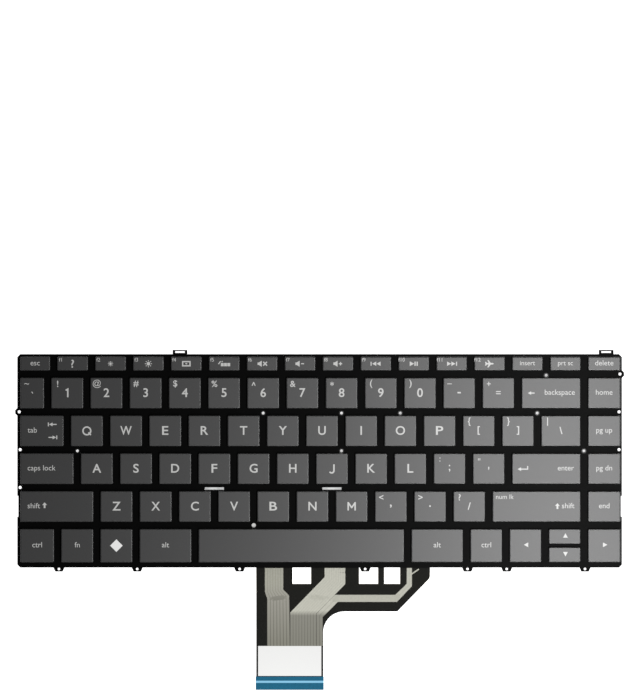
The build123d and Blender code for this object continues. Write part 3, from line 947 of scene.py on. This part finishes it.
def draw_wide_key(legend, name):
    """The marks of the wide keys, which sit near their ends."""
    left, right = -legend.half.x, legend.half.x
    if name == "tab":
        legend.text("tab", WORD_EM, left + WORD_INSET, side=-1)
        tab_arrows(legend, left + TAB_ARROWS_INSET)
    elif name == "caps_lock":
        legend.text("caps lock", WORD_EM, left + WORD_INSET, side=-1)
    elif name == "left_shift":
        legend.text("shift", WORD_EM, left + WORD_INSET, side=-1)
        shift_arrow(legend, left + LEFT_SHIFT_ARROW[0], LEFT_SHIFT_ARROW[1])
    elif name == "right_shift":
        legend.text("shift", WORD_EM, right - RIGHT_SHIFT_INSET, side=1)
        shift_arrow(legend, right - RIGHT_SHIFT_ARROW[0], RIGHT_SHIFT_ARROW[1])
        inset_x, inset_y = NUM_LOCK_INSET
        legend.text("num lk", NUM_LOCK_EM, left + inset_x, legend.half.y - inset_y, side=-1)
    elif name == "enter":
        return_arrow(legend, left + RETURN_ARROW_INSET)
        legend.text("enter", WORD_EM, right - ENTER_INSET, side=1)
    elif name == "backspace":
        back_arrow(legend, left + BACK_ARROW_INSET)
        legend.text("backspace", WORD_EM, right - BACKSPACE_INSET, side=1)


def draw_legend(legend, name):
    """All marks of the key of that name."""
    if name in ICONS:
        ICONS[name](legend)
    elif name in WORDS:
        legend.text(WORDS[name], TIGHT_EM if name in TIGHT_WORDS else WORD_EM)
    elif name in PAIRS:
        plain, shifted = PAIRS[name]
        legend.text(plain, SIGN_EMS.get(plain, LETTER_EM), y=LEGEND_LIFT)
        legend.text(shifted, SHIFTED_EM, *legend.corner())
    elif name in DRAWN:
        DRAWN[name](legend)
    elif len(name) == 1:
        letter = name.upper()
        legend.text(letter, LETTER_EM, y=LEGEND_LIFT, stretch=LETTER_STRETCH.get(letter, 1))
    elif name == "f1":
        legend.text("?", HELP_EM)
    else:
        draw_wide_key(legend, name)
    if name in SHIFTED:
        legend.text(SHIFTED[name], SHIFTED_EM, *legend.corner())
    if name[0] == "f" and name[1:].isdigit():
        legend.text(name, SMALL_EM, -legend.half.x + TINY_INSET[0], legend.half.y - TINY_INSET[1])


def key_places():
    """{name: (low, high)} of the keys with a joint and of those without."""
    moving = {node[len("key_"):]: box_mm(node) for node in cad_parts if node.startswith("key_")}
    names = " ".join(FIXED_ROWS).split()
    return moving, dict(zip(names, islands("fixed_keys")))


def make_keys(moving, fixed):
    for name, (low, high) in moving.items():
        body = "key_" + name
        bm = bmesh.new()
        add_cap(bm, low, high)
        piece("cap_" + name, bm, FINISHES["keycap"], body, [body])
        bm = bmesh.new()
        draw_legend(Legend(bm, low, high), name)
        if bm.verts:
            piece("legend_" + name, bm, FINISHES["legend"], body, smooth=False)
        else:
            bm.free()
    caps = bmesh.new()
    marks = {"legend": bmesh.new(), "launcher": bmesh.new()}
    for name, (low, high) in fixed.items():
        add_cap(caps, low, high)
        draw_legend(Legend(marks.get(name, marks["legend"]), low, high), name)
    piece("fixed_caps", caps, FINISHES["keycap"], "base", ["fixed_keys"])
    for kind, bm in marks.items():
        piece("fixed_marks_" + kind, bm, FINISHES[kind], "base", smooth=False)


# Key mechanism


def add_link(bm, low, high, rear_up):
    """A moulded fork: two arms with thicker ends and pivot eyes, and a crossbar under the cap."""
    bottom, top = low.z + LINK_THICK / 2, high.z - LINK_THICK / 2
    y_low, y_high = (low.y, high.y) if rear_up else (high.y, low.y)
    lift = math.copysign(LINK_THICK / 2, y_high - y_low)
    foot = Vector((0, y_low + lift, bottom))
    head = Vector((0, y_high - lift, top))
    along = (head - foot).normalized()
    over = Vector((1, 0, 0)).cross(along)
    for x in (low.x + LINK_BAR / 2, high.x - LINK_BAR / 2):
        rings = []
        for share, thick in LINK_FORM:
            centre = foot + (head - foot) * share + Vector((x, 0, 0))
            ring = []
            for a, b in LINK_SECTION:
                ring.append(centre + Vector((a * LINK_BAR / 2, 0, 0)) + over * b * thick * LINK_THICK / 2)
            rings.append(ring)
        skin(bm, rings)
    bar = foot + (head - foot) * CROSSBAR_AT
    inset = LINK_BAR * CROSSBAR_END
    ends = [bar + Vector((x, 0, 0)) for x in (low.x + inset, high.x - inset)]
    tube(bm, ends, LINK_THICK * CROSSBAR_SHARE)


def add_scissor(bm, outer, inner):
    """A crossed pair of links with the pins that join them."""
    add_link(bm, *outer, rear_up=True)
    add_link(bm, *inner, rear_up=False)
    middle = (outer[0] + outer[1]) / 2
    for x_outer, x_inner in ((outer[0].x, inner[0].x), (outer[1].x, inner[1].x)):
        side = math.copysign(LINK_BAR / 2, x_outer - x_inner)
        ends = [Vector((x, middle.y, middle.z)) for x in (x_outer - side, x_inner - side)]
        tube(bm, ends, LINK_THICK * PIN_SHARE)


def add_dome(bm, low, high):
    """A hollow rubber bell: a flange on the membrane, a thin flank that buckles and a solid crown."""
    middle = (low + high) / 2
    radius = min(high.x - low.x, high.y - low.y) / 2
    height = high.z - low.z
    loops = []
    for r, z in DOME_FORM:
        turns = [math.tau * i / DOME_SIDES for i in range(DOME_SIDES)]
        loops.append([Vector((middle.x + r * radius * math.cos(t), middle.y + r * radius * math.sin(t),
                              low.z + z * height)) for t in turns])
    skin(bm, loops)


def rounded_path(points, radius, steps=5):
    """The points of a path with each corner turned in a small curve."""
    path = [points[0]]
    for before, corner, after in zip(points, points[1:], points[2:]):
        start = corner + (before - corner).normalized() * radius
        end = corner + (after - corner).normalized() * radius
        for i in range(steps + 1):
            t = i / steps
            path.append(start * (1 - t) ** 2 + corner * 2 * t * (1 - t) + end * t**2)
    return path + [points[-1]]


def add_wire(bm, low, high):
    """A sprung steel bracket: its long side clips under the cap and its bent feet stand on the deck."""
    r = WIRE_RADIUS
    foot_y, bar_y = high.y - r, low.y + r
    foot_z, bar_z = low.z + r, high.z - r
    left, right = low.x + r, high.x - r
    corners = [(left + WIRE_FOOT, foot_y, foot_z), (left, foot_y, foot_z), (left, bar_y, bar_z),
               (right, bar_y, bar_z), (right, foot_y, foot_z), (right - WIRE_FOOT, foot_y, foot_z)]
    tube(bm, rounded_path([Vector(c) for c in corners], WIRE_BEND), r)


def within(part, key):
    """Whether a part of the mechanism stands under that key."""
    middle = (part[0] + part[1]) / 2
    return key[0].x < middle.x < key[1].x and key[0].y < middle.y < key[1].y


def make_mechanism(moving, fixed):
    """The links, dome and wire of every key, in a piece of their own for each moving key and in one piece
    for the rest.
    """
    outer, inner = islands("scissor_outer_links"), islands("scissor_inner_links")
    kinds = {
        "scissor": ("link", ["scissor_outer_links", "scissor_inner_links"], list(zip(outer, inner)),
                    lambda bm, pair: add_scissor(bm, *pair)),
        "dome": ("dome", ["rubber_domes"], islands("rubber_domes"),
                 lambda bm, part: add_dome(bm, *part)),
        "wire": ("wire", ["stabilizer_bars"], islands("stabilizer_bars"),
                 lambda bm, part: add_wire(bm, *part)),
    }
    for kind, (slot, nodes, parts, build) in kinds.items():
        still = bmesh.new()
        homes = {name: bmesh.new() for name in moving}
        for part in parts:
            box = part[0] if kind == "scissor" else part
            home = next((name for name, key in moving.items() if within(box, key)), None)
            build(homes[home] if home else still, part)
        piece("fixed_" + kind + "s", still, FINISHES[slot], "base", nodes)
        for name, bm in homes.items():
            if not bm.verts:
                bm.free()
                continue
            obj = piece(kind + "_" + name, bm, FINISHES[slot], "base", nodes)
            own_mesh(obj)


# Tail


def tail_top(y):
    """The height of the tail's upper side, which changes only from front to rear."""
    probe = Vector((TAIL_PROBE_X, y, 10)) * MM
    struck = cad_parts["membrane"].ray_cast(probe, Vector((0, 0, -1)))[1]
    return struck.z / MM


def add_band(bm, left, right, count, gap, lift):
    """A band of printed lines between two edges, given as pixels of the photograph, laid on the tail."""
    left = [Vector(photo_point(*p)) for p in left]
    right = [Vector(photo_point(*p)) for p in right]
    for line in range(count):
        share_a, share_b = (line + gap) / count, (line + 1 - gap) / count
        edge_a = [a.lerp(b, share_a) for a, b in zip(left, right)]
        edge_b = [a.lerp(b, share_b) for a, b in zip(left, right)]
        rings = []
        for i in range(len(edge_a) - 1):
            parts = max(math.ceil((edge_a[i + 1] - edge_a[i]).length / TRACE_STEP), 1)
            for k in range(parts + (i + 2 == len(edge_a))):
                a = edge_a[i].lerp(edge_a[i + 1], k / parts)
                b = edge_b[i].lerp(edge_b[i + 1], k / parts)
                za, zb = tail_top(a.y), tail_top(b.y)
                rings.append([Vector((a.x, a.y, za - lift)), Vector((b.x, b.y, zb - lift)),
                              Vector((b.x, b.y, zb + lift)), Vector((a.x, a.y, za + lift))])
        skin(bm, rings)


def make_tail():
    """The printed lines on the tail, each band a ground with finer lines on it."""
    bands = {
        "left": (LEFT_TRACES, "left"),
        "middle": (MIDDLE_TRACES, "pale"),
        "right": (RIGHT_TRACES, "pale"),
    }
    for name, ((count, left, right), tone) in bands.items():
        left, right = ([(edge[0][0], TRACE_TOP_PX), *edge] for edge in (left, right))
        layers = (("ground", 1, 0.0, TRACE_RISE / 2), ("lines", count, TRACE_GAP, TRACE_RISE))
        for layer, lines, gap, height in layers:
            bm = bmesh.new()
            add_band(bm, left, right, lines, gap, height)
            if name == "right" and layer == "lines":
                add_band(bm, *SPUR_TRACE, 1, 0.0, TRACE_RISE)
            ink = FINISHES[tone + "_" + layer]
            piece("tail_" + layer + "_" + name, bm, ink, "base", smooth=False)


# Back


def make_flex_lines():
    """Copper lines on the back of the light strip's tail, widened to contacts at its end."""
    low = box_mm("light_strip")[0]
    tail_low, tail_high = flex_edges(low.y)
    pitch = (tail_high - tail_low - 2 * FLEX_MARGIN) / FLEX_LINES
    rear = box_mm("cover_tape")[0].y + FLEX_MARGIN
    bm = bmesh.new()
    for line in range(FLEX_LINES):
        x = tail_low + FLEX_MARGIN + (line + 0.5) * pitch
        start, contact_end = low.y + FLEX_END, low.y + FLEX_CONTACT
        runs = ((contact_end, rear, FLEX_LINE_WIDTH), (start, contact_end, pitch * FLEX_CONTACT_SHARE))
        for front, back, width in runs:
            stroke(bm, [(x, front), (x, back)], width, low.z - FLEX_RISE, low.z + FLEX_RISE)
    piece("flex_lines", bm, FINISHES["contact"], "base", smooth=False)


def flex_edges(front):
    """X of the left and right edges of the strip's tail, from its own corners at the front end."""
    corners = [vert.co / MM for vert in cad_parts["light_strip"].data.vertices]
    xs = [corner.x for corner in corners if corner.y < front + FLEX_END]
    return min(xs), max(xs)


def make_rivets():
    """Flat rivet heads of the key frame, through the back film."""
    film = box_mm("back_film")[0].z
    turns = [math.tau * i / DOME_SIDES for i in range(DOME_SIDES)]
    for slot, places in RIVETS.items():
        bm = bmesh.new()
        for x, y in places:
            loops = []
            for r, z in RIVET_FORM:
                height = film + RIVET_SINK - z
                loops.append([Vector((x + r * math.cos(t), y + r * math.sin(t), height)) for t in turns])
            skin(bm, loops)
        piece(slot + "_rivets", bm, FINISHES[slot], "base")


# Scene


def make_stage():
    bm = bmesh.new()
    bmesh.ops.create_grid(bm, x_segments=1, y_segments=1, size=FLOOR_HALF)
    mesh = bpy.data.meshes.new("floor")
    bm.to_mesh(mesh)
    bm.free()
    mesh.materials.append(stage_finish())
    floor = bpy.data.objects.new("floor", mesh)
    floor.location.z = FLOOR_Z
    bpy.context.scene.collection.objects.link(floor)


def area_light(name, spot, aim, size, power):
    """A rectangular light with its length along Y, as nearly as its aim allows."""
    light = bpy.data.lights.new(name, "AREA")
    light.shape = "RECTANGLE"
    light.size, light.size_y = size
    light.energy = power
    obj = bpy.data.objects.new(name, light)
    back = (Vector(spot) - Vector(aim)).normalized()
    across = Vector((0, 1, 0)).cross(back).normalized()
    obj.location = spot
    obj.rotation_euler = Matrix((across, back.cross(across), back)).transposed().to_euler()
    obj.visible_camera = False
    bpy.context.scene.collection.objects.link(obj)


def make_lights():
    world = bpy.data.worlds.new("studio")
    bpy.context.scene.world = world
    world.use_nodes = True
    nodes, links = world.node_tree.nodes, world.node_tree.links
    sky = nodes["Background"]
    sky.inputs["Color"].default_value = (1, 1, 1, 1)
    seen = nodes.new("ShaderNodeLightPath")
    level = nodes.new("ShaderNodeMapRange")
    level.inputs["To Min"].default_value = WORLD_LIGHT
    level.inputs["To Max"].default_value = 1.0
    links.new(seen.outputs["Is Camera Ray"], level.inputs["Value"])
    links.new(level.outputs["Result"], sky.inputs["Strength"])
    area_light("softbox", **SOFTBOX)
    area_light("front_light", **FRONT_LIGHT)


def make_camera():
    """Straight above, at the photograph's frame."""
    span = PHOTO_SIZE[1] / PX_PER_MM * MM
    camera = bpy.data.cameras.new("camera")
    camera.sensor_width = SENSOR_WIDTH
    camera.lens = SENSOR_WIDTH * CAMERA_DISTANCE / span
    x, y = photo_point(PHOTO_SIZE[0] / 2, PHOTO_SIZE[1] / 2)
    obj = bpy.data.objects.new("camera", camera)
    obj.location = (x * MM, y * MM, CAMERA_DISTANCE)
    bpy.context.scene.collection.objects.link(obj)
    bpy.context.scene.camera = obj
    bpy.context.scene.view_settings.view_transform = "Standard"


dress_cad()
moving_keys, fixed_keys = key_places()
make_keys(moving_keys, fixed_keys)
make_mechanism(moving_keys, fixed_keys)
make_tail()
make_flex_lines()
make_rivets()
make_stage()
make_lights()
make_camera()
